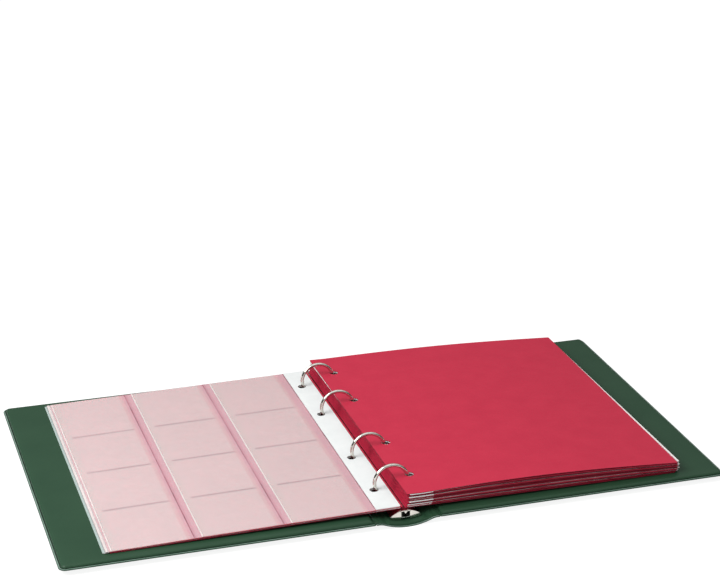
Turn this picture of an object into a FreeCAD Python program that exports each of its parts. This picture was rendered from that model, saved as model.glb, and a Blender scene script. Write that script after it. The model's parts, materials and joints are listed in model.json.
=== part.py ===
import FreeCAD, Part

import math
import os

from FreeCAD import Vector

# Open four ring album: two padded covers on a rounded spine, a ring mechanism and two stacks of leaves.
# Millimetres. X runs across the open album, Y away from the reader and Z up.
# The origin lies on the table, under the middle of the spine.
# The right half is modelled and the left half is its mirror image, apart from the number of leaves.

# Covers
COVER_HEIGHT = 270.0
COVER_WIDTH = 223.5
COVER_LIFT = 4.2
COVER_CORNER = 5.0
COVER_BOARD = 2.0
COVER_SKIN = 0.45
COVER_LINING = 0.45
WELD_FLANGE = 2.2
LINING_WALL = 1.0
LINING_ROUND = 1.2

# Spine and hinge strips
SPINE_HALF = 16.5
SPINE_RADIUS = 46.7
SPINE_BOARD = 1.2
SPINE_SKIN = 0.4
SPINE_LINING = 0.4
SPINE_LAYER_GAP = 0.05
HINGE_CHANNEL = 7.0
HINGE_FILM = 0.9
HINGE_BULGE = 0.45
FOLD_GROOVE = 0.3
FILM_GAP = 0.1

# Ring mechanism
HOUSING_END_GAP = 7.0
HOUSING_HALF = 11.4
HOUSING_SHEET = 0.6
HOUSING_RISE = 3.5
LIP_GROOVE = 1.2
LIP_REACH = 0.6
SEAT_GAP = 0.1
NOTCH_WIDTH = 3.8
NOTCH_PLAY = 1.0
BLADE_SHEET = 0.7
BLADE_END_GAP = 0.5
BLADE_MIDDLE_GAP = 0.3
BLADE_REST_ANGLE = 5.5
RIVET_END_GAP = 10.0
RIVET_HEAD = 7.6
RIVET_HEAD_THICK = 0.8
RIVET_SHANK = 4.0
RIVET_TAIL = 6.4
RIVET_TAIL_THICK = 0.4
RIVET_CLEARANCE = 0.1
CUP_DEPTH = 1.3
CUP_PLAY = 0.3
BLADE_RIVET_ROOM = 0.8

# Rings
RING_RADIUS = 12.75
RING_WIRE = 2.7
RING_FOOT = 5.0
RING_MIDDLE_PITCH = 80.0
RING_END_GAP = 33.0
RING_TIP_REACH = 0.5
RING_TIP_SLOPE = 0.8
RING_TIP_GAP = 0.1
STEM = 1.7
STEM_CLEARANCE = 0.05
STEM_HEAD = 2.5
STEM_HEAD_THICK = 0.35

# Leaves
RIGHT_PAGES = 9
LEFT_PAGES = 2
STACK_CLEARANCE = 0.15
LEAF_GAP = 0.12
OUTER_GAP = 0.07
HOLE = 6.5
HOLE_OFFSET = 1.4
LEAF_END_GAP = 10.0
LEAF_SIDE_GAP = 36.25
INTERLEAF_THICK = 0.3
INTERLEAF_MIDDLE_GAP = 0.5
PAGE_END_INSET = 0.6
PAGE_SIDE_OVERHANG = 2.0
STRIP_WIDTH = 18.0
STRIP_THICK = 0.6
STRIP_MIDDLE_GAP = 2.0
FILM_BACK = 0.15
POCKET_ROOM = 0.1
FILM_FRONT = 0.15
POCKET_COLUMNS = 3
POCKET_ROWS = 4
COLUMN_GAP = 6.0
FILM_BORDER = 3.0
POCKET_WELD = 2.0
LEAF_CORNER = 3.0

# Values worked out from the sizes above
COVER_EDGE = SPINE_HALF + HINGE_CHANNEL
COVER_THICK = COVER_SKIN + COVER_BOARD + COVER_LINING
COVER_TOP = COVER_LIFT + COVER_THICK
HINGE_X = SPINE_HALF + HINGE_CHANNEL / 2
HOUSING_LENGTH = COVER_HEIGHT - 2 * HOUSING_END_GAP
RIVET_PLACE = HOUSING_LENGTH / 2 - RIVET_END_GAP
RIVET_PLACES = [-RIVET_PLACE, RIVET_PLACE]
OUTER_RING = HOUSING_LENGTH / 2 - RING_END_GAP
MIDDLE_RING = RING_MIDDLE_PITCH / 2
RING_PLACES = [-OUTER_RING, -MIDDLE_RING, MIDDLE_RING, OUTER_RING]
ACROSS = Vector(1, 0, 0)
ALONG = Vector(0, 1, 0)
UP = Vector(0, 0, 1)
ORIGIN = Vector(0, 0, 0)


def spine_height(x, depth):
    """Height of the spine's curve at x, on the layer that lies at a depth inside its outer face."""
    radius = SPINE_RADIUS - depth
    return SPINE_RADIUS - math.sqrt(radius * radius - x * x)


SPINE_THICK = SPINE_SKIN + SPINE_BOARD + SPINE_LINING
HINGE_BOTTOM = (spine_height(SPINE_HALF, 0) + COVER_LIFT) / 2 + HINGE_BULGE
HINGE_Z = HINGE_BOTTOM + HINGE_FILM
LIP_BOTTOM = spine_height(HOUSING_HALF, SPINE_THICK) + SEAT_GAP
LIP_TOP = LIP_BOTTOM + 2 * HOUSING_SHEET + LIP_GROOVE
CROWN = LIP_TOP + HOUSING_RISE
ROLL_RADIUS = HOUSING_SHEET + LIP_GROOVE / 2
PIVOT_X = HOUSING_HALF - ROLL_RADIUS
PIVOT_Z = LIP_BOTTOM + ROLL_RADIUS
ARCH_REACH = HOUSING_RISE + ROLL_RADIUS
ARCH_RADIUS = (ARCH_REACH ** 2 + PIVOT_X ** 2 - ROLL_RADIUS ** 2) / (2 * HOUSING_RISE)
ARCH_Z = CROWN - ARCH_RADIUS
CUP_FLOOR = CROWN - CUP_DEPTH

# Blade's own directions on the right side, and the foot of a ring: where its wire meets the blade's top face
REST = math.radians(BLADE_REST_ANGLE)
INWARD = Vector(-math.cos(REST), 0, -math.sin(REST))
FACING_UP = Vector(-math.sin(REST), 0, math.cos(REST))
PIVOT = Vector(PIVOT_X, 0, PIVOT_Z)
NOSE_TOP = PIVOT + FACING_UP * (BLADE_SHEET / 2)
FOOT = NOSE_TOP + INWARD * ((NOSE_TOP.x - RING_FOOT) / math.cos(REST))
RING_Z = FOOT.z + math.sqrt(RING_RADIUS ** 2 - RING_FOOT ** 2)
RING_MIDDLE = Vector(0, 0, RING_Z)

# Lowest leaf, as heights above the middle of the rings: over the housing and at its outer edge on the cover
STACK_FLOOR = max(COVER_TOP, CROWN) + STACK_CLEARANCE - RING_Z
OUTER_FLOOR = COVER_TOP + STACK_CLEARANCE - RING_Z
FLOOR_REACH = math.sqrt(RING_RADIUS ** 2 - STACK_FLOOR ** 2)
FILM_THICK = FILM_BACK + POCKET_ROOM + FILM_FRONT


def line(start, end):
    return Part.LineSegment(start, end).toShape()


def arc(start, middle, end):
    return Part.Arc(start, middle, end).toShape()


def prism(edges, direction):
    """Solid made by pushing a closed outline along a direction."""
    return Part.Face(Part.Wire(edges)).extrude(direction)


def ring_of_lines(points):
    """Edges of the polygon through the points."""
    following = points[1:] + points[:1]
    return [line(start, end) for start, end in zip(points, following)]


def block(x_low, x_high, y_low, y_high, z_low, z_high):
    corner = Vector(x_low, y_low, z_low)
    return Part.makeBox(x_high - x_low, y_high - y_low, z_high - z_low, corner)


def rounded_panel(x_low, x_high, half, z_low, thick, inner_corner, outer_corner):
    """Flat panel with rounded corners, symmetric about the XZ plane."""
    box = block(x_low, x_high, -half, half, z_low, z_low + thick)
    for radius, x in ((inner_corner, x_low), (outer_corner, x_high)):
        if radius <= 0:
            continue
        corners = [edge for edge in box.Edges if is_corner_at(edge, x)]
        box = box.makeFillet(radius, corners)
    return box


def is_corner_at(edge, x):
    """True for an upright edge that stands at x."""
    bounds = edge.BoundBox
    return bounds.ZLength > bounds.XLength + bounds.YLength and abs(bounds.Center.x - x) < 1e-6


def mirrored(shape):
    return shape.mirror(ORIGIN, ACROSS)


def lay_cover(shape):
    """Set a cover piece beside the spine, held level by the hinge strip."""
    shape.translate(Vector(COVER_EDGE, 0, COVER_LIFT))
    return shape


# Cover: outer skin, stiff board and the lining that is welded over it
def cover_skin():
    return lay_cover(rounded_panel(0, COVER_WIDTH, COVER_HEIGHT / 2, 0, COVER_SKIN, 0, COVER_CORNER))


def board_block():
    inset = WELD_FLANGE + LINING_WALL
    corner = max(COVER_CORNER - WELD_FLANGE - LINING_WALL, COVER_BOARD / 2)
    half = COVER_HEIGHT / 2 - inset
    return rounded_panel(inset, COVER_WIDTH - inset, half, COVER_SKIN, COVER_BOARD, corner, corner)


def cover_board():
    return lay_cover(board_block())


def cover_lining():
    corner = max(COVER_CORNER - WELD_FLANGE, COVER_BOARD / 2 + LINING_WALL)
    half = COVER_HEIGHT / 2 - WELD_FLANGE
    thick = COVER_BOARD + COVER_LINING
    pad = rounded_panel(WELD_FLANGE, COVER_WIDTH - WELD_FLANGE, half, COVER_SKIN, thick, corner, corner)
    rim = [edge for edge in pad.Edges if edge.BoundBox.ZMin > COVER_THICK - COVER_LINING / 2]
    pad = pad.makeFillet(min(LINING_ROUND, LINING_WALL + COVER_LINING / 2), rim)
    return lay_cover(pad.cut(board_block()))


# Spine: three layers on one curve
def spine_layer(half, depth, thick, length):
    """Curved strip across the spine between two depths inside its outer face."""
    low = [Vector(x, -length / 2, spine_height(x, depth)) for x in (-half, 0, half)]
    high = [Vector(x, -length / 2, spine_height(x, depth + thick)) for x in (half, 0, -half)]
    edges = [arc(*low), line(low[2], high[0]), arc(*high), line(high[2], low[0])]
    return prism(edges, Vector(0, length, 0))


def rivet_bores(diameter, z_low, z_high):
    bores = [
        Part.makeCylinder(diameter / 2, z_high - z_low, Vector(0, y, z_low), UP)
        for y in RIVET_PLACES
    ]
    return Part.makeCompound(bores)


def spine_board_room(gap):
    """The board's place between skin and lining, drawn in by a gap on every side."""
    inset = WELD_FLANGE + LINING_WALL + gap
    length = COVER_HEIGHT - 2 * inset
    return spine_layer(SPINE_HALF - inset, SPINE_SKIN + gap, SPINE_BOARD - 2 * gap, length)


def spine_skin():
    return spine_layer(SPINE_HALF, 0, SPINE_SKIN, COVER_HEIGHT)


RIVET_TAIL_Z = spine_height(RIVET_TAIL / 2, SPINE_SKIN)


def spine_board():
    shank_room = rivet_bores(RIVET_SHANK + 2 * RIVET_CLEARANCE, 0, CROWN)
    tail_room = rivet_bores(RIVET_TAIL + 2 * RIVET_CLEARANCE, 0, RIVET_TAIL_Z + RIVET_TAIL_THICK)
    return spine_board_room(SPINE_LAYER_GAP).cut(shank_room).cut(tail_room)


def spine_lining():
    length = COVER_HEIGHT - 2 * WELD_FLANGE
    pad = spine_layer(SPINE_HALF - WELD_FLANGE, SPINE_SKIN, SPINE_BOARD + SPINE_LINING, length)
    shank_room = rivet_bores(RIVET_SHANK + 2 * RIVET_CLEARANCE, SPINE_SKIN + SPINE_BOARD / 2, CROWN)
    return pad.cut(spine_board_room(0)).cut(shank_room)


def hinge_film():
    """Thin welded strip between spine and cover, with a rounded fold line along the hinge axis."""
    y = -COVER_HEIGHT / 2
    x_high = COVER_EDGE - FILM_GAP
    heights = {SPINE_HALF: spine_height(SPINE_HALF, 0), HINGE_X: HINGE_BOTTOM, x_high: COVER_LIFT}
    low = [Vector(x, y, z) for x, z in heights.items()]
    high = [point + Vector(0, 0, HINGE_FILM) for point in reversed(low)]
    edges = [arc(*low), line(low[2], high[0]), arc(*high), line(high[2], low[0])]
    strip = prism(edges, Vector(0, COVER_HEIGHT, 0))
    groove = Part.makeCylinder(FOLD_GROOVE, COVER_HEIGHT, Vector(HINGE_X, y, HINGE_Z), ALONG)
    return strip.cut(groove)


# Ring mechanism: sprung steel housing, an arch whose two edges roll under to hold the blades
def housing_side(inset):
    """Points of the right half of one face of the sheet: the end of the arch, the roll and the lip."""
    lean = Vector(PIVOT_X, 0, PIVOT_Z - ARCH_Z).normalize()
    roll = ROLL_RADIUS - inset
    arch_end = Vector(0, 0, ARCH_Z) + lean * (ARCH_RADIUS - inset)
    roll_side = Vector(PIVOT_X + roll, 0, PIVOT_Z)
    roll_end = Vector(PIVOT_X, 0, PIVOT_Z - roll)
    lip_end = Vector(PIVOT_X - LIP_REACH, 0, PIVOT_Z - roll)
    return arch_end, roll_side, roll_end, lip_end


def housing_edges(inset):
    """One face of the sheet, from the left lip over the crown to the right lip."""
    arch_end, roll_side, roll_end, lip_end = housing_side(inset)
    left_arch, left_side, left_roll, left_lip = [Vector(-p.x, 0, p.z) for p in housing_side(inset)]
    crown = Vector(0, 0, CROWN - inset)
    return [
        line(left_lip, left_roll),
        arc(left_roll, left_side, left_arch),
        arc(left_arch, crown, arch_end),
        arc(arch_end, roll_side, roll_end),
        line(roll_end, lip_end),
    ]


def housing_shell():
    outside = housing_edges(0)
    inside = housing_edges(HOUSING_SHEET)
    right_end = line(housing_side(0)[-1], housing_side(HOUSING_SHEET)[-1])
    left_end = mirrored(right_end)
    edges = Part.sortEdges(outside + inside + [right_end, left_end])[0]
    shell = prism(edges, Vector(0, HOUSING_LENGTH, 0))
    shell.translate(Vector(0, -HOUSING_LENGTH / 2, 0))
    return shell


def ring_housing():
    shell = housing_shell()
    under_arch = Part.makeCylinder(ARCH_RADIUS, HOUSING_LENGTH, Vector(0, -HOUSING_LENGTH / 2, ARCH_Z), ALONG)
    cup_radius = RIVET_HEAD / 2 + CUP_PLAY
    for y in RIVET_PLACES:
        bottom = CUP_FLOOR - HOUSING_SHEET
        place = Vector(0, y, bottom)
        cup = Part.makeCylinder(cup_radius + HOUSING_SHEET, CROWN - bottom, place, UP).common(under_arch)
        shell = shell.fuse(cup)
        well = Part.makeCylinder(cup_radius, CROWN, Vector(0, y, CUP_FLOOR), UP)
        hole = Part.makeCylinder(RIVET_SHANK / 2 + RIVET_CLEARANCE, CROWN, place, UP)
        shell = shell.cut(well).cut(hole)
    for y in RING_PLACES:
        y_low = y - NOTCH_WIDTH / 2
        y_high = y + NOTCH_WIDTH / 2
        notch = block(RING_FOOT - NOTCH_PLAY, 2 * HOUSING_HALF, y_low, y_high, PIVOT_Z, 2 * CROWN)
        shell = shell.cut(notch).cut(mirrored(notch))
    return shell.removeSplitter()


def housing_rivets():
    rivets = []
    radius_points = [
        (0, RIVET_TAIL_Z),
        (RIVET_TAIL / 2, RIVET_TAIL_Z),
        (RIVET_TAIL / 2, RIVET_TAIL_Z + RIVET_TAIL_THICK),
        (RIVET_SHANK / 2, RIVET_TAIL_Z + RIVET_TAIL_THICK),
        (RIVET_SHANK / 2, CUP_FLOOR),
        (RIVET_HEAD / 2, CUP_FLOOR),
        (RIVET_HEAD / 2, CUP_FLOOR + RIVET_HEAD_THICK / 2),
        (RIVET_SHANK / 2, CUP_FLOOR + RIVET_HEAD_THICK),
        (0, CUP_FLOOR + RIVET_HEAD_THICK),
    ]
    for y in RIVET_PLACES:
        outline = [Vector(radius, y, z) for radius, z in radius_points]
        face = Part.Face(Part.Wire(ring_of_lines(outline)))
        rivets.append(face.revolve(Vector(0, y, 0), UP, 360))
    return Part.makeCompound(rivets)


# Blades and ring halves, right hand side
def blade():
    """Sprung plate with a round outer edge that rocks in the lip groove."""
    length = HOUSING_LENGTH - 2 * BLADE_END_GAP
    half = BLADE_SHEET / 2
    y = -length / 2
    x_low = BLADE_MIDDLE_GAP / 2
    corner_low = Vector(x_low, y, PIVOT_Z - half)
    corner_high = Vector(x_low, y, PIVOT_Z + half)
    edge_low = Vector(PIVOT_X, y, PIVOT_Z - half)
    edge_high = Vector(PIVOT_X, y, PIVOT_Z + half)
    nose = arc(edge_low, Vector(PIVOT_X + half, y, PIVOT_Z), edge_high)
    edges = [line(corner_low, edge_low), nose, line(edge_high, corner_high), line(corner_high, corner_low)]
    plate = prism(edges, Vector(0, length, 0))
    for place in RIVET_PLACES:
        room = RIVET_SHANK / 2 + BLADE_RIVET_ROOM
        plate = plate.cut(Part.makeCylinder(room, CROWN, Vector(0, place, 0), UP))
    plate.rotate(PIVOT, ALONG, -BLADE_REST_ANGLE)
    for place in RING_PLACES:
        plate = plate.cut(stem(place, STEM / 2 + STEM_CLEARANCE))
    return plate


def stem(y, radius):
    """Cylinder through the blade under the foot of a ring, from inside the wire to below the plate."""
    top = FOOT + Vector(0, y, 0) + FACING_UP * (RING_WIRE / 4)
    return Part.makeCylinder(radius, RING_WIRE / 4 + BLADE_SHEET + STEM_HEAD_THICK, top, FACING_UP * -1)


def stem_head(y):
    top = FOOT + Vector(0, y, 0) - FACING_UP * BLADE_SHEET
    return Part.makeCylinder(STEM_HEAD / 2, STEM_HEAD_THICK, top, FACING_UP * -1)


def wire_arc(y):
    """Ring wire from a little past the top of the ring down to below the blade."""
    past_top = math.degrees(2 * RING_TIP_REACH / RING_RADIUS)
    below_foot = math.degrees(RING_WIRE / RING_RADIUS)
    sweep = past_top + 90 + math.degrees(math.atan2(RING_Z - FOOT.z, FOOT.x)) + below_foot
    top = Vector(0, y, RING_Z + RING_RADIUS)
    section = Part.Face(Part.Wire([Part.Circle(top, ACROSS, RING_WIRE / 2).toShape()]))
    section.rotate(RING_MIDDLE, ALONG, -past_top)
    return section.revolve(RING_MIDDLE, ALONG, sweep)


def right_of_tip(y, reach):
    """Space that one ring half may fill: all to the right of the pointed joint at the top of the ring."""
    side = RING_WIRE
    sides_x = reach - math.copysign(side * RING_TIP_SLOPE, reach)
    far = 2 * RING_RADIUS
    plan = [(reach, y), (sides_x, y + side), (far, y + side), (far, y - side), (sides_x, y - side)]
    points = [Vector(x + RING_TIP_GAP / 2, place, RING_Z) for x, place in plan]
    return prism(ring_of_lines(points), Vector(0, 0, far))


def below_middle(y):
    return block(0, 2 * RING_RADIUS, y - RING_WIRE, y + RING_WIRE, 0, RING_Z)


def above_blade(y):
    """Space above the top face of the blade round one ring."""
    space = block(-2 * RING_RADIUS, 2 * RING_RADIUS, y - RING_WIRE, y + RING_WIRE, 0, 4 * RING_RADIUS)
    space.rotate(ORIGIN, ALONG, -BLADE_REST_ANGLE)
    space.translate(FOOT)
    return space


def ring_half(y, reach):
    """Ring half on the right: a positive reach makes the notched tip, a negative one the pointed tip."""
    room = right_of_tip(y, reach).fuse(below_middle(y))
    wire = wire_arc(y).common(room).common(above_blade(y))
    return wire.fuse([stem(y, STEM / 2), stem_head(y)]).removeSplitter()


# Leaves, each made flat with the ring wire crossing it at the origin
LEAF_SPAN = COVER_EDGE + COVER_WIDTH - LEAF_SIDE_GAP - FLOOR_REACH - HOLE_OFFSET
INTERLEAF_MARGIN = FLOOR_REACH + HOLE_OFFSET - INTERLEAF_MIDDLE_GAP
INTERLEAF_WIDTH = LEAF_SPAN + INTERLEAF_MARGIN
STRIP_MARGIN = FLOOR_REACH + HOLE_OFFSET - STRIP_MIDDLE_GAP
INTERLEAF_HEIGHT = COVER_HEIGHT - 2 * LEAF_END_GAP
PAGE_HEIGHT = INTERLEAF_HEIGHT - 2 * PAGE_END_INSET
FILM_WIDTH = LEAF_SPAN + PAGE_SIDE_OVERHANG + STRIP_MARGIN - STRIP_WIDTH
COLUMN_WIDTH = (FILM_WIDTH - FILM_BORDER - (POCKET_COLUMNS - 1) * COLUMN_GAP) / POCKET_COLUMNS
ROW_HEIGHT = PAGE_HEIGHT / POCKET_ROWS
FILM_START = HOLE_OFFSET - STRIP_MARGIN + STRIP_WIDTH


def punched(sheet, thick):
    holes = [
        Part.makeCylinder(HOLE / 2, thick, Vector(HOLE_OFFSET, y, 0), UP)
        for y in RING_PLACES
    ]
    return sheet.cut(Part.makeCompound(holes))


def interleaf():
    start = HOLE_OFFSET - INTERLEAF_MARGIN
    end = start + INTERLEAF_WIDTH
    sheet = rounded_panel(start, end, INTERLEAF_HEIGHT / 2, 0, INTERLEAF_THICK, LEAF_CORNER, LEAF_CORNER)
    return punched(sheet, INTERLEAF_THICK)


def page_strip():
    start = HOLE_OFFSET - STRIP_MARGIN
    return punched(rounded_panel(start, FILM_START, PAGE_HEIGHT / 2, 0, STRIP_THICK, LEAF_CORNER, 0), STRIP_THICK)


def page_film():
    """Clear page: a back film and welded columns of pockets, each pocket open on its outer side."""
    end = FILM_START + FILM_WIDTH
    half = PAGE_HEIGHT / 2
    page = rounded_panel(FILM_START, end, half, 0, FILM_BACK, 0, LEAF_CORNER)
    columns = []
    pockets = []
    for column in range(POCKET_COLUMNS):
        x_low = FILM_START + column * (COLUMN_WIDTH + COLUMN_GAP)
        x_high = x_low + COLUMN_WIDTH
        columns.append(block(x_low, x_high, -half, half, 0, FILM_THICK))
        for row in range(POCKET_ROWS):
            y_low = -half + row * ROW_HEIGHT + POCKET_WELD / 2
            y_high = y_low + ROW_HEIGHT - POCKET_WELD
            pockets.append(block(x_low + POCKET_WELD, x_high, y_low, y_high, FILM_BACK, FILM_BACK + POCKET_ROOM))
    return page.fuse(columns).removeSplitter().cut(Part.makeCompound(pockets))


def lay_leaf(shape, low, drop, thick):
    """Thread a flat leaf on the rings at a height above their middle, its outer edge sagging by drop."""
    middle = low + thick / 2
    leaf = shape.copy()
    leaf.rotate(ORIGIN, ALONG, math.degrees(math.atan(drop / LEAF_SPAN)))
    leaf.translate(Vector(math.sqrt(RING_RADIUS ** 2 - middle ** 2), 0, RING_Z + low))
    return leaf


def stack(side, pages, ends_with_interleaf):
    """Named leaves of one side, from the bottom: an interleaf, a page and so on."""
    red = interleaf()
    strip = page_strip()
    film = page_film()
    leaves = {}
    low = STACK_FLOOR
    outer_low = OUTER_FLOOR
    for number in range(1, pages + 1 + ends_with_interleaf):
        leaves[f"{side}_interleaf_{number}"] = lay_leaf(red, low, low - outer_low, INTERLEAF_THICK)
        low += INTERLEAF_THICK + LEAF_GAP
        outer_low += INTERLEAF_THICK + OUTER_GAP
        if number > pages:
            break
        leaves[f"{side}_page_{number}_strip"] = lay_leaf(strip, low, low - outer_low, STRIP_THICK)
        leaves[f"{side}_page_{number}_film"] = lay_leaf(film, low, low - outer_low, STRIP_THICK)
        low += STRIP_THICK + LEAF_GAP
        outer_low += FILM_THICK + OUTER_GAP
    return leaves


def both_sides(name, shape):
    return {f"right_{name}": shape, f"left_{name}": mirrored(shape)}


def album():
    pieces = {}
    pieces.update(both_sides("cover_skin", cover_skin()))
    pieces.update(both_sides("cover_board", cover_board()))
    pieces.update(both_sides("cover_lining", cover_lining()))
    pieces.update(both_sides("hinge_film", hinge_film()))
    pieces["spine_skin"] = spine_skin()
    pieces["spine_board"] = spine_board()
    pieces["spine_lining"] = spine_lining()
    pieces["ring_housing"] = ring_housing()
    pieces["housing_rivets"] = housing_rivets()
    pieces.update(both_sides("blade", blade()))
    for number, y in enumerate(RING_PLACES, start=1):
        pieces[f"right_ring_{number}"] = ring_half(y, RING_TIP_REACH)
        pieces[f"left_ring_{number}"] = mirrored(ring_half(y, -RING_TIP_REACH))
    pieces.update(stack("right", RIGHT_PAGES, True))
    for name, leaf in stack("left", LEFT_PAGES, False).items():
        pieces[name] = mirrored(leaf)
    return pieces


def write_parts():
    os.makedirs("parts", exist_ok=True)
    for name, shape in album().items():
        if not shape.isValid():
            raise ValueError(f"{name} is not a valid solid")
        shape.exportStep(os.path.join("parts", f"{name}.step"))
        print(f"{name}: {len(shape.Solids)} solid, {shape.Volume:.1f} cubic mm")


write_parts()
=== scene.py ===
import json
import math

import bmesh
import bpy
from mathutils import Matrix, Vector


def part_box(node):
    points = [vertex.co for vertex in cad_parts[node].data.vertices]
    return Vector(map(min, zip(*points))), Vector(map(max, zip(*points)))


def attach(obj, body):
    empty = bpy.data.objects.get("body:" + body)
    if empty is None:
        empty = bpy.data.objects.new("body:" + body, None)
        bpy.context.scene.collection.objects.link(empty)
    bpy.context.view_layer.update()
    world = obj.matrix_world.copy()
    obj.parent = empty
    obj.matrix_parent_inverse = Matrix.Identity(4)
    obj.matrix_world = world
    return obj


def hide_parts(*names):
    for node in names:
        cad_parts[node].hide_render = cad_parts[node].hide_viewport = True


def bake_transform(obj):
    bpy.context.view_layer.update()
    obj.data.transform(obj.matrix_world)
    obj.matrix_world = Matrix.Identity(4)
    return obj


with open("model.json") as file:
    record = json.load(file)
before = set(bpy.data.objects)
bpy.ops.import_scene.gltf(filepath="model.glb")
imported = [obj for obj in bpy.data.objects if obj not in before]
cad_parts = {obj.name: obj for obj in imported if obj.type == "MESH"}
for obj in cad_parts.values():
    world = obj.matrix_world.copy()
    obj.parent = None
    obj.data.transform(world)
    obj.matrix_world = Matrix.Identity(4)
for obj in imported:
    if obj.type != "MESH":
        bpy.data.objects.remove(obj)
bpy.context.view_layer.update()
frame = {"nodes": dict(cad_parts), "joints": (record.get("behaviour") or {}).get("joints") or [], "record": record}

MM = 0.001
nodes = frame["nodes"]
joints = {joint["name"]: joint for joint in frame["joints"]}
body_of_node = {
    node: body
    for body, members in frame["record"]["behaviour"]["bodies"].items()
    for node in members
}

# Camera, fitted to the cover corners, the punched holes and the page edges of the photograph
CAMERA_PLACE = (-0.4114, -1.3307, 0.6721)
CAMERA_HEADING = 17.405
CAMERA_DIP = 21.257
CAMERA_ROLL = 0.185
CAMERA_LENS = 100.87
SENSOR_WIDTH = 36.0

# Stage and light, in metres and watts: the floor is a light table, so it stays pale close to the covers
FLOOR_SIZE = 30.0
FLOOR_TONES = (0.19, 0.21)
FLOOR_GLOW = 0.87
SKY = [(0.0, 0.03), (0.3, 0.1), (0.65, 0.6), (1.0, 1.0)]
SKY_STRENGTH = 1.25
KEY_PLACE = (-0.75, -0.15, 0.8)
KEY_AIM = (-0.05, 0, 0)
KEY_SIZE = 0.8
KEY_POWER = 11.7
FILL_PLACE = (-0.8, -1.2, 0.5)
FILL_AIM = (-0.1, -0.1, 0)
FILL_SIZE = 0.5
FILL_POWER = 2.2

# Edges with a greater angle than this between their faces, in degrees, are shaded as sharp
SHARP_ANGLE = 32

# Lengths from here on are in millimetres and angles in degrees
# Covers: insets from the outer edge and heights over the outside of the cover
LINING_PROFILE = [
    (0.20, 0.46), (0.20, 0.66), (0.36, 0.84), (1.10, 0.84), (1.22, 0.64), (1.30, 0.48), (1.72, 0.48),
    (1.80, 0.95), (1.98, 1.45), (2.30, 1.92), (2.75, 2.32), (3.20, 2.54), (4.0, 2.70), (5.5, 2.81),
    (8.0, 2.87), (12.0, 2.90),
]
SKIN_PROFILE = [
    (0.12, 0.45), (0.0, 0.36), (0.0, 0.10), (0.12, 0.0),
    (1.30, 0.0), (1.50, 0.12), (1.80, 0.12), (2.0, 0.0),
]
BEAD_START = 0.36
BEAD_END = 1.1
GROOVE_END = 1.8
COVER_CORNER = 5.0
HINGE_SIDE_CORNER = 1.6
LEAST_CORNER = 0.1
CORNER_STEPS = 8

# Leaves: punched holes and corners, bow of the stacks, and how far single leaves slide and turn
HOLE_RADIUS = 3.25
HOLE_SLACK = 1.01
HOLE_CELL = 5.0
HOLE_STEPS = 8
LEAF_CORNER = 1.0
CORNER_SHARES = (0.3, 0.65, 1.0)
LEAF_STEP = 8.0
RIGHT_BOW = 2.8
LEFT_BOW = 0.25
FAR_BOW_SHARE = 0.75
SLIDE_PACE = 2.4
PAGE_SETTLE = 0.1
PAGE_LOOSE = 0.9
PAGE_PHASE = 1.1
SHEET_LOOSE = 0.5
SHEET_PHASE = 0.9
LEAF_TURN = 0.06
PEEK_TURN = 0.55
PEEK_TURN_GROWTH = 4
PEEK_SLIDE = 0.8
PEEK_SLIDE_GROWTH = 2
INTERLEAF_THICK = 0.3
STRIP_THICK = 0.6
LEFT_FAN = 2.4

# Pockets of a page
FILM_SHEET = 0.15
FILM_GAP = 0.04
POCKET_COLUMNS = 3
POCKET_ROWS = 4
COLUMN_GAP = 5.6
FILM_BORDER = 3.4
STRIP_BAND = 3.5
SOFT_BANDS = (2.4, 4.8)
ROW_WELD = 2.0
ROW_SHIFT = 2.5
LIP_BAND = 5.5
LIP_WIDTH = 0.8
EDGE_WIDTH = 1.5
FILM_END_INSET = 0.7
SHOWN_END_INSET = -0.1
SEAM_GAP = 0.3
CREASE_WIDTH = 0.5
SHADE_WIDTH = 1.6
FILM_STEP = 5.0
POCKET_PUFF = 0.3
SWELL_POWER = 0.5
MOUTH_SLACK = 1.0001

# Tabs that close the ends of the housing
TAB_SHEET = 0.4
TAB_GAP = 6.6
TAB_SEAT = 0.2
TONGUE_WIDTH = 3.4
TONGUE_DROP = 2.2
TAB_BULGE = 0.06
TAB_STEP = 0.7
TAB_ROWS = 8
HOUSING_SHEET = 0.6

# Spine and hinge strips
SPINE_RADIUS = 46.7
SPINE_SKIN = 0.4
SPINE_THICK = 2.0
HINGE_FILM = 0.9
HINGE_GROOVE = 0.35
HINGE_GROOVE_WIDTH = 1.2
FLANK_INSET = 1.6
FLANK_WIDTH = 2.6
SPINE_END_INSET = 0.3
SPINE_STEP = 1.2
HINGE_STEP = 0.4
RIM_STEP = 20.0

# Materials: the part of a noise's range over which a finish changes
LOW_STOP = 0.3
HIGH_STOP = 0.7

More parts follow.
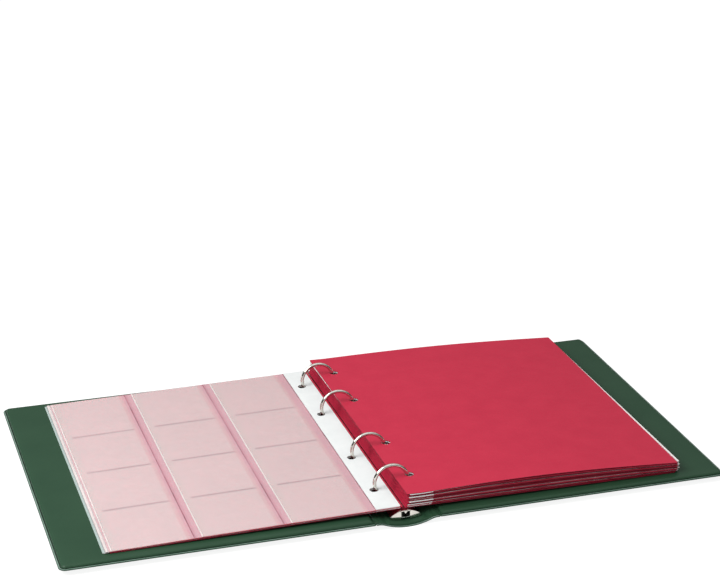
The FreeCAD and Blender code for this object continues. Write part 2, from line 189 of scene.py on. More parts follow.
# Films: share of the light that each face holds back, and the two colours its haze moves between
FILM_LOOKS = {
    "clear_film": (0.255, (0.835, 0.955, 0.935), (0.865, 0.975, 0.955)),
    # Painted highlight and shade along the films' cut edges, bright in places and dark in others
    "film_edge_glint_and_shade": (0.5, (0.32, 0.12, 0.16), (0.98, 0.90, 0.91)),
    # Painted shadow in the fold beside each seam, dark red through the haze
    "film_crease_shadow": (0.4, (0.08, 0.0, 0.02), (0.55, 0.25, 0.32)),
    "film_weld": (0.25, (0.775, 0.715, 0.765), (0.82, 0.76, 0.81)),
    "film_slope": (0.26, (0.81, 0.80, 0.80), (0.855, 0.845, 0.845)),
    "film_band": (0.255, (0.80, 0.965, 0.93), (0.83, 0.985, 0.95)),
    # Painted highlight along the cut edge of the front film at each pocket's mouth
    "film_lip_glint": (0.8, (0.66, 0.58, 0.56), (0.72, 0.65, 0.63)),
    # Row welds, painted darker than the pockets as the shade in the groove where the front dips to the back
    "film_row_shade": (0.3, (0.47, 0.55, 0.555), (0.53, 0.61, 0.615)),
    "film_shade": (0.25, (0.69, 0.60, 0.665), (0.74, 0.65, 0.715)),
    # Painted highlight along the outer edges of the lower pages
    "film_rim_glint": (0.8, (0.88, 0.82, 0.81), (0.95, 0.90, 0.89)),
}

# Finishes that pieces of several finishes mark their faces with
FILM_FINISHES = list(FILM_LOOKS)
CLEAR, EDGE, CREASE, WELD, SLOPE, BAND, LIP, ROW, SHADE, RIM = range(len(FILM_FINISHES))
# The bead of the welded rim is painted lighter as a highlight, and its groove darker as shade
RIM_FINISHES = ["lining", "leatherette", "bead_highlight", "groove_shade"]
INSIDE, OUTSIDE, BEAD, GROOVE = range(len(RIM_FINISHES))
# The cut edges of the red sheets are painted much darker than their faces, as shade
SHEET_FINISHES = ["red_sheet", "sheet_edge_shade"]
SHEET_EDGE_SHADE = SHEET_FINISHES.index("sheet_edge_shade")


# Node helpers for the materials
def add_node(tree, kind, **settings):
    node = tree.nodes.new(kind)
    for name, value in settings.items():
        setattr(node, name, value)
    return node


def new_material(name, roughness, metallic=0.0, specular=0.5):
    """A material with one Principled shader, whose constants sit on its own sockets."""
    made = bpy.data.materials.new(name)
    made.use_nodes = True
    shader = made.node_tree.nodes["Principled BSDF"]
    shader.inputs["Roughness"].default_value = roughness
    shader.inputs["Metallic"].default_value = metallic
    shader.inputs["Specular IOR Level"].default_value = specular
    return made, made.node_tree, shader


def noise(tree, size, detail=3.0, stretch=(1.0, 1.0, 1.0)):
    """Noise whose features are about the given size in millimetres."""
    place = add_node(tree, "ShaderNodeTexCoord")
    mapping = add_node(tree, "ShaderNodeMapping")
    mapping.inputs["Scale"].default_value = stretch
    texture = add_node(tree, "ShaderNodeTexNoise")
    texture.inputs["Scale"].default_value = 1.0 / (size * MM)
    texture.inputs["Detail"].default_value = detail
    tree.links.new(place.outputs["Object"], mapping.inputs["Vector"])
    tree.links.new(mapping.outputs["Vector"], texture.inputs["Vector"])
    return texture.outputs["Fac"]


def cells(tree, size):
    """Distance to the nearest cell border, with cells of about the given size in millimetres."""
    place = add_node(tree, "ShaderNodeTexCoord")
    texture = add_node(tree, "ShaderNodeTexVoronoi", feature="DISTANCE_TO_EDGE")
    texture.inputs["Scale"].default_value = 1.0 / (size * MM)
    tree.links.new(place.outputs["Object"], texture.inputs["Vector"])
    return texture.outputs["Distance"]


def ramp(tree, factor, stops):
    """Colour ramp through (position, colour) stops."""
    node = add_node(tree, "ShaderNodeValToRGB")
    elements = node.color_ramp.elements
    while len(elements) < len(stops):
        elements.new(0.5)
    for element, (position, colour) in zip(elements, stops):
        element.position = position
        element.color = (*colour, 1.0)
    tree.links.new(factor, node.inputs["Fac"])
    return node.outputs["Color"]


def grey(value):
    return (value, value, value)


def bump(tree, shader, height, strength, distance):
    node = add_node(tree, "ShaderNodeBump")
    node.inputs["Strength"].default_value = strength
    node.inputs["Distance"].default_value = distance * MM
    tree.links.new(height, node.inputs["Height"])
    previous = shader.inputs["Normal"].links
    if previous:
        tree.links.new(previous[0].from_socket, node.inputs["Normal"])
    tree.links.new(node.outputs["Normal"], shader.inputs["Normal"])


def mottle(tree, shader, socket, factor, low, high, high_stop=HIGH_STOP):
    """Let a noise move one socket of a shader between two colours."""
    tone = ramp(tree, factor, [(LOW_STOP, low), (high_stop, high)])
    tree.links.new(tone, shader.inputs[socket])


def leatherette():
    """Grained outside of the covers: pebbled cells with fine creases."""
    made, tree, shader = new_material("leatherette", 0.42, specular=0.3)
    mottle(tree, shader, "Base Color", noise(tree, 28, 6), (0.013, 0.040, 0.022), (0.021, 0.056, 0.033))
    mottle(tree, shader, "Roughness", noise(tree, 9, 4), grey(0.34), grey(0.52))
    pebbles = ramp(tree, cells(tree, 1.3), [(0.0, grey(0.0)), (0.22, grey(1.0))])
    bump(tree, shader, pebbles, 0.5, 0.12)
    bump(tree, shader, noise(tree, 0.5, 4), 0.35, 0.05)
    return made


def lining():
    """Smooth satin inside of the covers, a little uneven over the board."""
    made, tree, shader = new_material("lining", 0.46, specular=0.2)
    mottle(tree, shader, "Base Color", noise(tree, 45, 5), (0.0140, 0.045, 0.0225), (0.0180, 0.052, 0.0265))
    mottle(tree, shader, "Roughness", noise(tree, 14, 4), grey(0.38), grey(0.47))
    bump(tree, shader, noise(tree, 35, 2), 0.25, 0.5)
    bump(tree, shader, noise(tree, 0.35, 3), 0.15, 0.02)
    return made


def rim_highlight_and_shade(name, low, high, roughness):
    """Pressed line round the covers, where inside and outside are welded together; its colours paint a highlight
    on the bead and shade in the groove.
    """
    made, tree, shader = new_material(name, roughness, specular=0.4)
    mottle(tree, shader, "Base Color", noise(tree, 9, 4), low, high)
    bump(tree, shader, noise(tree, 0.6, 3), 0.2, 0.03)
    return made


def board():
    """Grey board, in the covers and the spine."""
    made, tree, shader = new_material("board", 0.9)
    mottle(tree, shader, "Base Color", noise(tree, 2, 6), (0.36, 0.32, 0.27), (0.46, 0.42, 0.36))
    return made


def nickel():
    """Polished nickel plate with faint rubbing along its length."""
    made, tree, shader = new_material("bright_steel", 0.12, metallic=1.0)
    mottle(tree, shader, "Base Color", noise(tree, 6, 4), (0.60, 0.57, 0.52), (0.70, 0.67, 0.62))
    mottle(tree, shader, "Roughness", noise(tree, 2.5, 5), grey(0.07), grey(0.17), high_stop=0.75)
    bump(tree, shader, noise(tree, 0.4, 3, (1.0, 0.12, 1.0)), 0.05, 0.02)
    return made


def zinc():
    """Plain plated sheet of the blades and rivets, rolled along its length."""
    made, tree, shader = new_material("blade_steel", 0.3, metallic=1.0)
    mottle(tree, shader, "Base Color", noise(tree, 3, 5), (0.60, 0.60, 0.58), (0.72, 0.72, 0.69))
    mottle(tree, shader, "Roughness", noise(tree, 0.8, 4, (1.0, 0.05, 1.0)), grey(0.22), grey(0.4))
    return made


def clear_film(name, alpha, low, high):
    """Hazy clear plastic: each face of a sheet holds back a share of the light."""
    made, tree, shader = new_material(name, 0.28)
    mottle(tree, shader, "Base Color", noise(tree, 22, 4), low, high)
    mottle(tree, shader, "Roughness", noise(tree, 8, 3), grey(0.22), grey(0.34))
    shader.inputs["Alpha"].default_value = alpha
    bump(tree, shader, noise(tree, 45, 1), 0.1, 0.5)
    return made


def white_strip():
    """Smooth white plastic of the binding strips."""
    made, tree, shader = new_material("white_strip", 0.35)
    mottle(tree, shader, "Base Color", noise(tree, 12, 4), (0.645, 0.67, 0.665), (0.685, 0.705, 0.70))
    bump(tree, shader, noise(tree, 0.5, 3), 0.1, 0.02)
    return made


def red_sheet(name, low, high):
    """Crimson card with a soft, slightly mottled face."""
    made, tree, shader = new_material(name, 0.55, specular=0.25)
    mottle(tree, shader, "Base Color", noise(tree, 18, 6), low, high)
    mottle(tree, shader, "Roughness", noise(tree, 5, 4), grey(0.5), grey(0.62))
    bump(tree, shader, noise(tree, 0.3, 4), 0.12, 0.02)
    bump(tree, shader, noise(tree, 40, 2), 0.2, 0.6)
    return made


materials = {
    "leatherette": leatherette(),
    "lining": lining(),
    # Painted highlight on the bead and painted shade in the groove, lighter and darker than the lining
    "bead_highlight": rim_highlight_and_shade("bead_highlight", (0.10, 0.17, 0.13), (0.17, 0.25, 0.205), 0.3),
    "groove_shade": rim_highlight_and_shade("groove_shade", (0.004, 0.013, 0.007), (0.007, 0.02, 0.011), 0.6),
    "board": board(),
    "bright_steel": nickel(),
    "blade_steel": zinc(),
    "white_strip": white_strip(),
    "red_sheet": red_sheet("red_sheet", (0.43, 0.0155, 0.045), (0.46, 0.019, 0.050)),
    # Painted shade: the edges of the red sheets, much darker than the faces
    "sheet_edge_shade": red_sheet("sheet_edge_shade", (0.13, 0.003, 0.015), (0.18, 0.005, 0.021)),
}
for finish, look in FILM_LOOKS.items():
    materials[finish] = clear_film(finish, *look)


# Pieces
def add_object(name, data):
    made = bpy.data.objects.new(name, data)
    bpy.context.scene.collection.objects.link(made)
    return made


def make_piece(name, verts, faces, finishes, replaced, marks=None):
    """A smooth-shaded mesh that stands for CAD nodes, its faces marked with places in the finishes."""
    mesh = bpy.data.meshes.new(name)
    mesh.from_pydata(verts, [], faces)
    for finish in finishes:
        mesh.materials.append(materials[finish])
    if marks:
        mesh.polygons.foreach_set("material_index", marks)
    work = bmesh.new()
    work.from_mesh(mesh)
    bmesh.ops.recalc_face_normals(work, faces=work.faces)
    work.to_mesh(mesh)
    work.free()
    mesh.polygons.foreach_set("use_smooth", [True] * len(mesh.polygons))
    mesh.set_sharp_from_angle(angle=math.radians(SHARP_ANGLE))
    piece = add_object(name, mesh)
    if replaced:
        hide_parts(*replaced)
    return piece


def reach(node):
    """Least and greatest distance of a node from the middle of the album."""
    low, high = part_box(node)
    return sorted((abs(low.x), abs(high.x)))


def count_nodes(start, end=""):
    return sum(node.startswith(start) and node.endswith(end) for node in nodes)


def rounded_loop(x_low, x_high, half, low_corner, high_corner):
    """Points round a rectangle with rounded corners, anticlockwise from its near low corner."""
    corners = [
        (x_low + low_corner, -half + low_corner, low_corner, 180),
        (x_high - high_corner, -half + high_corner, high_corner, 270),
        (x_high - high_corner, half - high_corner, high_corner, 0),
        (x_low + low_corner, half - low_corner, low_corner, 90),
    ]
    points = []
    for x, y, radius, start in corners:
        for step in range(CORNER_STEPS + 1):
            turn = math.radians(start + 90 * step / CORNER_STEPS)
            points.append((x + radius * math.cos(turn), y + radius * math.sin(turn)))
    return points


def rim_mark(inset):
    """Finish of the inside at a distance from its edge, in millimetres; the bead is painted lighter as a highlight
    and the groove darker as shade.
    """
    if inset <= BEAD_START:
        return OUTSIDE
    if inset <= BEAD_END:
        return BEAD
    if inset <= GROOVE_END:
        return GROOVE
    return INSIDE


def panel(side, x_low, x_high, half, z, profile):
    """Closed panel whose rim follows a profile of (inset, height) pairs, capped at both ends."""
    verts = []
    faces = []
    marks = []
    size = 4 * (CORNER_STEPS + 1)
    for inset, height in profile:
        low_corner = max(HINGE_SIDE_CORNER - inset, LEAST_CORNER) * MM
        high_corner = max(COVER_CORNER - inset, LEAST_CORNER) * MM
        gap = inset * MM
        for x, y in rounded_loop(x_low + gap, x_high - gap, half - gap, low_corner, high_corner):
            verts.append((side * x, y, z + height * MM))
    for level in range(len(profile) - 1):
        base = level * size
        for place in range(size):
            following = (place + 1) % size
            faces.append((base + place, base + following, base + size + following, base + size + place))
            # On the hinge side the rim takes no painted highlight or shade
            by_hinge = place < CORNER_STEPS or place >= size - CORNER_STEPS - 1
            marks.append(INSIDE if by_hinge else rim_mark(profile[level + 1][0]))
    faces.append(tuple(range(size)))
    faces.append(tuple(range((len(profile) - 1) * size, len(profile) * size)))
    marks += [OUTSIDE, INSIDE]
    return verts, faces, marks


def make_cover(side, word):
    """Padded inside and grained outside of a cover."""
    low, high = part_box(f"{word}_cover_skin")
    x_low, x_high = reach(f"{word}_cover_skin")
    verts, faces, marks = panel(side, x_low, x_high, high.y, low.z, LINING_PROFILE)
    inside = make_piece(f"{word}_cover_inside", verts, faces, RIM_FINISHES, [f"{word}_cover_lining"], marks)
    verts, faces, _ = panel(side, x_low, x_high, high.y, low.z, SKIN_PROFILE)
    outside = make_piece(f"{word}_cover_outside", verts, faces, ["leatherette"], [f"{word}_cover_skin"])
    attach(inside, f"{word}_cover")
    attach(outside, f"{word}_cover")


def lines_through(low, high, step, marks):
    """Values from low to high, about a step apart, that pass through every mark."""
    stops = sorted({round(mark, 7) for mark in [low, high, *marks]})
    lines = [stops[0]]
    for stop in stops[1:]:
        start = lines[-1]
        count = max(1, round((stop - start) / step))
        lines += [start + (stop - start) * (number + 1) / count for number in range(count)]
    return lines


def cell_marks(middle):
    """Grid lines across the square round a hole."""
    cell = HOLE_CELL * MM
    return [middle - cell + 2 * cell * step / HOLE_STEPS for step in range(HOLE_STEPS + 1)]


def nearest(lines, value):
    return min(range(len(lines)), key=lambda place: abs(lines[place] - value))


def punched_grid(xs, ys, holes):
    """Flat grid with round holes: its points, its faces, and the loops that border it."""
    points = [(x, y) for y in ys for x in xs]
    width = len(xs)
    skipped = set()
    faces = []
    loops = []
    cell = HOLE_CELL * MM
    for x, y in holes:
        left = nearest(xs, x - cell)
        right = nearest(xs, x + cell)
        near = nearest(ys, y - cell)
        far = nearest(ys, y + cell)
        around = [near * width + place for place in range(left, right)]
        around += [place * width + right for place in range(near, far)]
        around += [far * width + place for place in range(right, left, -1)]
        around += [place * width + left for place in range(far, near, -1)]
        rim = []
        for index in around:
            away = Vector((points[index][0] - x, points[index][1] - y)).normalized() * HOLE_RADIUS * MM
            rim.append(len(points))
            points.append((x + away.x, y + away.y))
        for place in range(len(around)):
            following = (place + 1) % len(around)
            faces.append((around[place], around[following], rim[following], rim[place]))
        loops.append(rim)
        skipped |= {(row, column) for row in range(near, far) for column in range(left, right)}
    for row in range(len(ys) - 1):
        for column in range(width - 1):
            if (row, column) in skipped:
                continue
            corner = row * width + column
            faces.append((corner, corner + 1, corner + width + 1, corner + width))
    last = (len(ys) - 1) * width
    edge = list(range(width))
    edge += [row * width + width - 1 for row in range(1, len(ys))]
    edge += [last + column for column in range(width - 2, -1, -1)]
    edge += [row * width for row in range(len(ys) - 2, 0, -1)]
    loops.append(edge)
    return points, faces, loops


def round_corner(point, corner_x, corner_y, middle_x, radius):
    """Draw a grid point near a square corner in onto the rounded corner."""
    inward_x = corner_x - math.copysign(radius, corner_x - middle_x)
    inward_y = corner_y - math.copysign(radius, corner_y)
    away = Vector((point[0] - inward_x, point[1] - inward_y))
    outside_x = (point[0] - inward_x) * (corner_x - inward_x) > 0
    outside_y = (point[1] - inward_y) * (corner_y - inward_y) > 0
    if not (outside_x and outside_y) or away.length <= radius:
        return point
    away = away.normalized() * radius
    return (inward_x + away.x, inward_y + away.y)


def rounded(points, x_low, x_high, half, ends):
    """Grid points with the sheet's corners rounded at one or both of its ends."""
    radius = LEAF_CORNER * MM
    middle = (x_low + x_high) / 2
    for corner_x in ends:
        for corner_y in (-half, half):
            points = [round_corner(point, corner_x, corner_y, middle, radius) for point in points]
    return points


def thicken(grid, low, high, mark_at=None, edge_mark=0):
    """Closed sheet over a grid, between two heights, its cells marked by where their middle lies."""
    points, quads, loops = grid
    count = len(points)
    verts = [(x, y, low(x, y)) for x, y in points]
    verts += [(x, y, high(x, y)) for x, y in points]
    faces = []
    marks = []
    for quad in quads:
        faces.append(tuple(reversed(quad)))
        faces.append(tuple(count + index for index in quad))
        mark = 0
        if mark_at:
            middle_x = sum(points[index][0] for index in quad) / len(quad)
            middle_y = sum(points[index][1] for index in quad) / len(quad)
            mark = mark_at(middle_x, middle_y)
        marks += [mark, mark]
    for loop in loops:
        for first, second in zip(loop, loop[1:] + loop[:1]):
            faces.append((first, second, second + count, first + count))
            marks.append(edge_mark)
    return verts, faces, marks


# Leaves: each lies on the plane of its CAD node, with a bow that grows up the stack
def leaf_plane(node):
    """Underside of a leaf: inner and outer distance from the middle, and the height at each."""
    points = [(abs(vertex.co.x), vertex.co.z) for vertex in nodes[node].data.vertices]
    inner = min(points)
    outer = min(points, key=lambda point: (round(point[1], 6), -point[0]))
    return inner, outer


ring_boxes = [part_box(f"left_ring_{number + 1}") for number in range(count_nodes("left_ring_"))]
ring_places = [(low.y + high.y) / 2 for low, high in ring_boxes]


def hole_line(node):
    """Distance of the punched holes from the middle."""
    slack = HOLE_RADIUS * HOLE_SLACK * MM
    vertices = [vertex.co for vertex in nodes[node].data.vertices]
    distances = [abs(place.x) for place in vertices if abs(place.y - ring_places[0]) < slack]
    return (min(distances) + max(distances)) / 2


class Leaf:
    """Where one leaf lies: its plane, its bow, and how it has slid and turned on the rings."""

    def __init__(self, punched, outermost, bow, slide, turn, slide_out=0.0, fan=0.0):
        self.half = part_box(punched)[1].y
        self.hole_x = hole_line(punched)
        self.inner = leaf_plane(punched)[0]
        self.outer = leaf_plane(outermost)[1]
        self.slope = (self.outer[1] - self.inner[1]) / (self.outer[0] - self.inner[0])
        self.bow = bow * MM
        self.slide = slide * MM
        self.turn = math.radians(turn)
        self.slide_out = slide_out * MM
        self.fan = fan * MM

    def under(self, x, y):
        """Height of the underside."""
        share = max(0.0, (x - self.hole_x) / (self.outer[0] - self.hole_x))
        far = min(1.0, max(0.0, 0.5 + y / (2 * self.half)))
        crest = math.sin(math.pi * min(1.0, share))
        lift = self.bow * crest * (1 - (1 - FAR_BOW_SHARE) * far)
        return self.inner[1] + self.slope * (x - self.inner[0]) + lift

    def raised(self, height):
        """Heights of a surface that lies over the underside."""
        return lambda x, y: self.under(x, y) + height * MM

    def settled(self, verts, side):
        """Points moved as the leaf has slid and turned, on the left or the right side of the rings."""
        moved = []
        for x, y, z in verts:
            away = self.slide_out - self.turn * y
            if x > self.hole_x:
                share = (x - self.hole_x) / (self.outer[0] - self.hole_x)
                away += self.fan
            else:
                share = (self.hole_x - x) / (self.hole_x - self.inner[0])
            x_moved = x + share * away
            y_moved = y + self.slide + self.turn * (x - self.hole_x)
            moved.append((side * x_moved, y_moved, z))
        return moved


def corner_marks(low, high):
    """Grid lines that the rounded corners at both ends need."""
    insets = [share * (LEAF_CORNER * MM) for share in CORNER_SHARES]
    return [low + inset for inset in insets] + [high - inset for inset in insets]


def leaf_sheet(leaf, x_high, free_end):
    """Punched grid of a sheet, whose far end has rounded corners where it is free."""
    x_low = leaf.inner[0]
    half = leaf.half
    x_marks = corner_marks(x_low, x_high) + cell_marks(leaf.hole_x)
    y_marks = corner_marks(-half, half)
    for y in ring_places:
        y_marks += cell_marks(y)
    xs = lines_through(x_low, x_high, LEAF_STEP * MM, x_marks)
    ys = lines_through(-half, half, LEAF_STEP * MM, y_marks)
    points, faces, loops = punched_grid(xs, ys, [(leaf.hole_x, y) for y in ring_places])
    ends = [x_low, x_high] if free_end else [x_low]
    return rounded(points, x_low, x_high, half, ends), faces, loops


def make_interleaf(side, word, number, bow):
    """Red sheet between two pages."""
    node = f"{word}_interleaf_{number}"
    slide = SHEET_LOOSE * math.sin(SLIDE_PACE * number + SHEET_PHASE)
    leaf = Leaf(node, node, bow, slide, LEAF_TURN * math.cos(SLIDE_PACE * number))
    grid = leaf_sheet(leaf, leaf.outer[0], True)
    # The sheet's cut edges are painted darker, as shade
    verts, faces, marks = thicken(grid, leaf.raised(0), leaf.raised(INTERLEAF_THICK), edge_mark=SHEET_EDGE_SHADE)
    piece = make_piece(f"{node}_sheet", leaf.settled(verts, side), faces, SHEET_FINISHES, [node], marks)
    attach(piece, body_of_node[node])


def make_page(side, word, number, bow, shows, turn, slide_out, fan):
    """Binding strip and pockets of a page; the one that shows has swelling pockets."""
    strip_node = f"{word}_page_{number}_strip"
    film_node = f"{word}_page_{number}_film"
    slide = PAGE_LOOSE * math.sin(SLIDE_PACE * number + PAGE_PHASE) - PAGE_SETTLE
    leaf = Leaf(strip_node, film_node, bow, slide, turn, slide_out, fan)
    strip_end = reach(strip_node)[1]
    grid = leaf_sheet(leaf, strip_end, False)
    verts, faces, _ = thicken(grid, leaf.raised(0), leaf.raised(STRIP_THICK))
    strip = make_piece(
        f"{word}_page_{number}_binding", leaf.settled(verts, side), faces, ["white_strip"], [strip_node])
    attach(strip, body_of_node[strip_node])
    end_inset = FILM_END_INSET if side > 0 else SHOWN_END_INSET
    puff = POCKET_PUFF if shows else 0.0
    # A lower page's outer edge takes a painted highlight, a fanned one its plain band, and the page that shows a
    # lip with its painted highlight
    rim = RIM
    if fan:
        rim = BAND
    if shows:
        rim = LIP
    verts, faces, marks = pocket_film(leaf, strip_end, end_inset, puff, rim)
    film = make_piece(
        f"{word}_page_{number}_pockets", leaf.settled(verts, side), faces, FILM_FINISHES, [film_node], marks)
    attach(film, body_of_node[film_node])


def pocket_film(leaf, start, end_inset, puff, rim):
    """Pockets of a page: back and front make one closed sheet, whose front swells between the welds."""
    end = leaf.outer[0]
    half = leaf.half - end_inset * MM
    gaps = (POCKET_COLUMNS - 1) * COLUMN_GAP + FILM_BORDER + STRIP_BAND
    column_width = (end - start - gaps * MM) / POCKET_COLUMNS
    column_step = column_width + COLUMN_GAP * MM
    column_lows = [start + STRIP_BAND * MM + column * column_step for column in range(POCKET_COLUMNS)]
    row_height = 2 * half / POCKET_ROWS
    row_start = -half - ROW_SHIFT * MM
    row_edges = [row_start + row * row_height for row in range(1, POCKET_ROWS)]
    weld = ROW_WELD / 2 * MM

    def column_marks(x_low):
        """Lines across a column: the fold beside it, its weld and slope, its band and lip, and its mouth."""
        x_high = x_low + column_width
        from_low = [0.0, *SOFT_BANDS]
        if x_low > column_lows[0]:
            from_low += [-CREASE_WIDTH, -CREASE_WIDTH - SHADE_WIDTH]
        from_high = [-SEAM_GAP, 0.0, LIP_WIDTH, LIP_BAND]
        return [x_low + inset * MM for inset in from_low] + [x_high - inset * MM for inset in from_high]

    def mark_in(x_low, x, y):
        """Finish of a column, or of the seam on its low side."""
        past_low = (x - x_low) / MM
        before_high = (x_low + column_width - x) / MM
        folded = x_low > column_lows[0]
        # The crease beside a seam is painted dark as the shadow in its fold
        if folded and -CREASE_WIDTH < past_low < 0:
            return CREASE
        if folded and -CREASE_WIDTH - SHADE_WIDTH < past_low < 0:
            return SHADE
        if past_low < SOFT_BANDS[0]:
            return WELD
        if past_low < SOFT_BANDS[1]:
            return SLOPE
        # The pocket's mouth takes a painted highlight along its cut edge
        if before_high < LIP_WIDTH:
            return LIP
        if before_high < LIP_BAND:
            return BAND
        # Row welds take their painted shade
        if min(abs(y - edge) for edge in row_edges) < weld:
            return ROW
        return CLEAR

    def mark_at(x, y):
        """Finish of the page at a place on it."""
        # Beside the binding strip the film takes the same painted shadow of a fold
        if x < start + CREASE_WIDTH * MM:
            return CREASE
        for x_low in column_lows:
            if x < x_low + column_width:
                return mark_in(x_low, x, y)
        before_end = (end - x) / MM
        # The outer edge takes its rim finish, a painted highlight on all but the fanned page
        if before_end < EDGE_WIDTH:
            return rim
        if EDGE_WIDTH + SEAM_GAP < before_end < FILM_BORDER - SEAM_GAP:
            return SLOPE
        return WELD

    def over(x, y):
        """Height of the front, which swells towards the mouth of each pocket."""
        swell = 0.0
        for x_low in column_lows:
            if x_low < x < x_low + MOUTH_SLACK * column_width:
                across = math.sin(math.pi / 2 * min(1.0, (x - x_low) / column_width)) ** SWELL_POWER
                along = abs(math.sin(math.pi * (y - row_start) / row_height)) ** SWELL_POWER
                swell = across * along
        return leaf.under(x, y) + (2 * FILM_SHEET + FILM_GAP + puff * swell) * MM

    x_marks = corner_marks(start, end) + [start + CREASE_WIDTH * MM, end - EDGE_WIDTH * MM]
    x_marks.append(end - (EDGE_WIDTH + SEAM_GAP) * MM)
    for x_low in column_lows:
        x_marks += column_marks(x_low)
    y_marks = corner_marks(-half, half) + [edge + side * weld for edge in row_edges for side in (-1, 1)]
    step = FILM_STEP if puff else LEAF_STEP
    xs = lines_through(start, end, step * MM, x_marks)
    ys = lines_through(-half, half, step * MM, y_marks)
    points, quads, loops = punched_grid(xs, ys, [])
    points = rounded(points, start, end, half, [end])
    # The film's cut edges take their painted highlight and shade
    return thicken((points, quads, loops), leaf.raised(0), over, mark_at, EDGE)


def make_stack(side, word, bow):
    """Sheets and pages by turns from the bottom; the bow grows towards the top of the stack."""
    pages = count_nodes(f"{word}_page_", "_film")
    sheets = count_nodes(f"{word}_interleaf_")
    ends_with_sheet = sheets > pages
    top_place = pages + sheets - 1
    for number in range(1, sheets + 1):
        place = 2 * (number - 1)
        make_interleaf(side, word, number, bow * place / top_place)
        if number > pages:
            break
        turn = LEAF_TURN * math.sin(SLIDE_PACE * number)
        slide_out = 0.0
        if ends_with_sheet:
            turn += PEEK_TURN * (number / pages) ** PEEK_TURN_GROWTH
            slide_out = -PEEK_SLIDE * (number / pages) ** PEEK_SLIDE_GROWTH
        shows = number == pages and not ends_with_sheet
        fan = 0.0 if shows or ends_with_sheet else LEFT_FAN
        make_page(side, word, number, bow * (place + 1) / top_place, shows, turn, slide_out, fan)


# Spine and hinge strips: the welded rim of the covers runs on along both ends
def rim_height(inset):
    """Height of the welded rim at a distance from the edge, from the profile of the covers."""
    inset = inset / MM
    if inset <= LINING_PROFILE[1][0]:
        return LINING_PROFILE[1][1] * MM
    for (low, low_height), (high, high_height) in zip(LINING_PROFILE[1:], LINING_PROFILE[2:]):
        if inset <= high:
            return (low_height + (high_height - low_height) * (inset - low) / (high - low)) * MM
    return LINING_PROFILE[-1][1] * MM


def rim_marks(half):
    """Finishes at places on the spine or a hinge strip, which follow the welded rim at both ends, with its painted
    highlight and shade.
    """
    return lambda x, y: rim_mark((half - abs(y)) / MM)


def spine_curve(x):
    """Height of the spine's outside over the table."""
    radius = SPINE_RADIUS * MM
    return radius - math.sqrt(radius * radius - x * x)


def rim_lines(half):
    """Lines along the album that follow the welded rim at both ends."""
    insets = [inset * MM for inset, height in LINING_PROFILE]
    marks = [half - inset for inset in insets] + [inset - half for inset in insets]
    return lines_through(-half, half, RIM_STEP * MM, marks)


def make_spine():
    """Outer skin and padded inside of the spine."""
    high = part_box("spine_skin")[1]
    half = high.y
    side = high.x
    skin = SPINE_SKIN * MM
    thick = SPINE_THICK * MM
    film = HINGE_FILM * MM

    def outer(x, y):
        return spine_curve(x)

    def skin_top(x, y):
        return spine_curve(x) + skin

    def pad_top(x, y):
        flank = min(1.0, max(0.0, (side - abs(x) - FLANK_INSET * MM) / (FLANK_WIDTH * MM)))
        height = film + (thick - film) * math.sin(math.pi / 2 * flank)
        return spine_curve(x) + min(height, rim_height(half - abs(y)), thick)

    xs = lines_through(-side, side, SPINE_STEP * MM, [])
    verts, faces, _ = thicken(punched_grid(xs, [-half, half], []), outer, skin_top)
    skin_piece = make_piece("spine_outside", verts, faces, ["leatherette"], ["spine_skin"])
    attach(skin_piece, "spine")
    grid = punched_grid(xs, rim_lines(half - SPINE_END_INSET * MM), [])
    # The pad's side walls take the painted highlight of the bead
    verts, faces, marks = thicken(grid, skin_top, pad_top, rim_marks(half), BEAD)
    pad_piece = make_piece("spine_inside", verts, faces, RIM_FINISHES, ["spine_lining"], marks)
    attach(pad_piece, "spine")


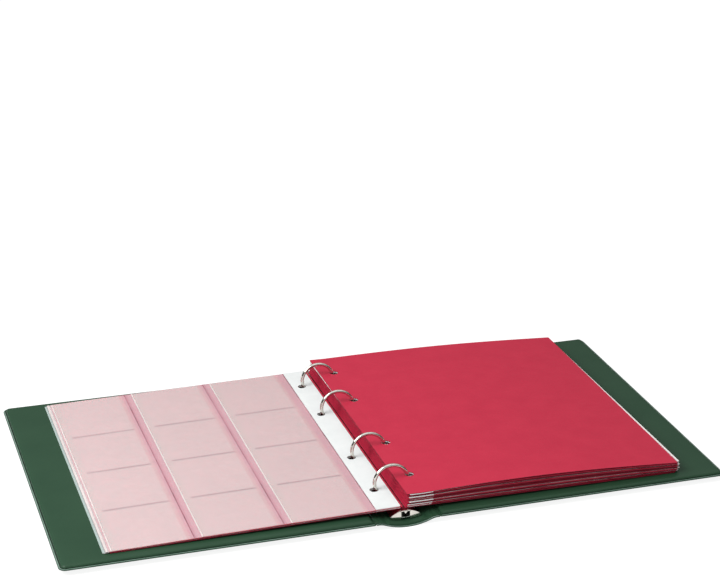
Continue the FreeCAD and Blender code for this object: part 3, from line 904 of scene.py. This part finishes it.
def make_hinge(side, word):
    """Flexible strip between the spine and a cover, with a groove along its middle."""
    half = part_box(f"{word}_hinge_film")[1].y
    x_low, x_high = reach(f"{word}_hinge_film")
    middle = (x_low + x_high) / 2
    film = HINGE_FILM * MM
    spine_bottom = spine_curve(x_low)
    middle_bottom = joints[f"{word}_cover_fold"]["pos_m"][2] - film
    cover_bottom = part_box(f"{word}_cover_skin")[0].z

    def under(x, y):
        share = (x - x_low) / (x_high - x_low)
        bend = middle_bottom - (spine_bottom + cover_bottom) / 2
        return spine_bottom + (cover_bottom - spine_bottom) * share + bend * 4 * share * (1 - share)

    def over(x, y):
        groove = max(0.0, 1 - abs(x - middle) / (HINGE_GROOVE_WIDTH * MM)) ** 2 * HINGE_GROOVE * MM
        return under(x, y) + min(film, rim_height(half - abs(y))) - groove

    xs = lines_through(x_low, x_high, HINGE_STEP * MM, [])
    grid = punched_grid(xs, rim_lines(half), [])
    verts, faces, marks = thicken(grid, under, over, rim_marks(half), OUTSIDE)
    # Each cell has two faces, and the first of them is its underside
    for cell in range(len(grid[1])):
        marks[2 * cell] = OUTSIDE
    verts = [(side * x, y, z) for x, y, z in verts]
    piece = make_piece(f"{word}_hinge_strip", verts, faces, RIM_FINISHES, [f"{word}_hinge_film"], marks)
    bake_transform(piece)


# Ring housing: the sheet is bent down at both ends, with a gap between the two tabs
def make_end_tabs():
    """Two tabs and a pointed tongue at each end, closing the arch of the housing."""
    low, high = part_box("ring_housing")
    pivot_x, _, pivot_z = joints["right_rings_open"]["pos_m"]
    roll = high.x - pivot_x
    rise = high.z - pivot_z
    arch = (rise ** 2 + pivot_x ** 2 - roll ** 2) / (2 * (rise - roll))
    inner = arch - HOUSING_SHEET / 2 * MM
    seat = (SPINE_THICK + TAB_SEAT) * MM

    def top(x):
        return high.z - arch + math.sqrt(inner ** 2 - x ** 2)

    def bottom(x):
        return seat + (low.z - seat) * x / pivot_x

    xs = lines_through(TAB_GAP / 2 * MM, pivot_x, TAB_STEP * MM, [])
    shares = [row / TAB_ROWS for row in range(TAB_ROWS + 1)]

    def face(x, share):
        """Depth of the outer face, which bulges a little in the middle."""
        across = (x - xs[0]) / (xs[-1] - xs[0])
        crown = math.sin(math.pi * across) * math.sin(math.pi * share)
        return (TAB_SHEET + TAB_BULGE * crown) * MM

    tab, quads, _ = thicken(punched_grid(xs, shares, []), lambda x, share: 0.0, face)
    verts = []
    faces = []
    half_tongue = TONGUE_WIDTH / 2 * MM
    root = top(half_tongue)
    # A tongue is a plate with four corners on its outer face and four on its inner one
    for end in (-1, 1):
        base = len(verts)
        for depth in (0.0, TAB_SHEET * MM):
            y = end * (high.y - depth)
            verts += [(-half_tongue, y, root), (0.0, y, root - TONGUE_DROP * MM), (half_tongue, y, root)]
            verts.append((0.0, y, top(0.0)))
        faces += [(base, base + 1, base + 2, base + 3), (base + 7, base + 6, base + 5, base + 4)]
        for place in range(4):
            following = (place + 1) % 4
            faces.append((base + place, base + following, base + 4 + following, base + 4 + place))
    for side in (-1, 1):
        for end in (-1, 1):
            base = len(verts)
            for x, share, depth in tab:
                y = end * (high.y - TAB_SHEET * MM + depth)
                verts.append((side * x, y, bottom(x) + share * (top(x) - bottom(x))))
            faces += [tuple(base + index for index in quad) for quad in quads]
    tabs = make_piece("housing_end_tabs", verts, faces, ["bright_steel"], [])
    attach(tabs, "spine")


make_cover(1, "right")
make_cover(-1, "left")
make_stack(1, "right", RIGHT_BOW)
make_stack(-1, "left", LEFT_BOW)
make_spine()
make_hinge(1, "right")
make_hinge(-1, "left")
make_end_tabs()

# CAD nodes that stay keep their shape and take the new finishes
slot_of_node = {row["node"]: row["material_slot"] for row in frame["record"]["subparts"]}
for node, thing in nodes.items():
    thing.data.materials.clear()
    thing.data.materials.append(materials[slot_of_node[node]])


# Stage, light and camera
def make_floor():
    mesh = bpy.data.meshes.new("floor")
    corners = [(x * FLOOR_SIZE, y * FLOOR_SIZE, 0) for x, y in ((-1, -1), (1, -1), (1, 1), (-1, 1))]
    mesh.from_pydata(corners, [], [(0, 1, 2, 3)])
    made, tree, shader = new_material("floor", 0.6, specular=0.2)
    low, high = FLOOR_TONES
    mottle(tree, shader, "Base Color", noise(tree, 400, 2), grey(low), grey(high))
    shader.inputs["Emission Color"].default_value = (1.0, 1.0, 1.0, 1.0)
    shader.inputs["Emission Strength"].default_value = FLOOR_GLOW
    mesh.materials.append(made)
    floor = add_object("floor", mesh)


def make_light(name, place, aim, size, power):
    data = bpy.data.lights.new(name, "AREA")
    data.shape = "DISK"
    data.size = size
    data.energy = power
    light = add_object(name, data)
    light.location = place
    light.rotation_mode = "QUATERNION"
    light.rotation_quaternion = (Vector(aim) - Vector(place)).to_track_quat("-Z", "Y")


def make_world():
    """Soft studio surroundings, dark below and bright overhead."""
    world = bpy.data.worlds.new("studio")
    bpy.context.scene.world = world
    world.use_nodes = True
    tree = world.node_tree
    place = add_node(tree, "ShaderNodeTexCoord")
    split = add_node(tree, "ShaderNodeSeparateXYZ")
    tree.links.new(place.outputs["Generated"], split.inputs["Vector"])
    sky = ramp(tree, split.outputs["Z"], [(height, grey(value)) for height, value in SKY])
    background = tree.nodes["Background"]
    tree.links.new(sky, background.inputs["Color"])
    background.inputs["Strength"].default_value = SKY_STRENGTH


def make_camera():
    data = bpy.data.cameras.new("camera")
    data.sensor_fit = "HORIZONTAL"
    data.sensor_width = SENSOR_WIDTH
    data.lens = CAMERA_LENS
    camera = add_object("camera", data)
    camera.location = CAMERA_PLACE
    turn = Matrix.Rotation(math.radians(-CAMERA_HEADING), 4, "Z")
    dip = Matrix.Rotation(math.radians(90 - CAMERA_DIP), 4, "X")
    roll = Matrix.Rotation(math.radians(CAMERA_ROLL), 4, "Z")
    camera.rotation_mode = "QUATERNION"
    camera.rotation_quaternion = (turn @ dip @ roll).to_quaternion()
    bpy.context.scene.camera = camera


make_floor()
make_world()
make_light("key", KEY_PLACE, KEY_AIM, KEY_SIZE, KEY_POWER)
make_light("fill", FILL_PLACE, FILL_AIM, FILL_SIZE, FILL_POWER)
make_camera()
bpy.context.scene.view_settings.view_transform = "Standard"
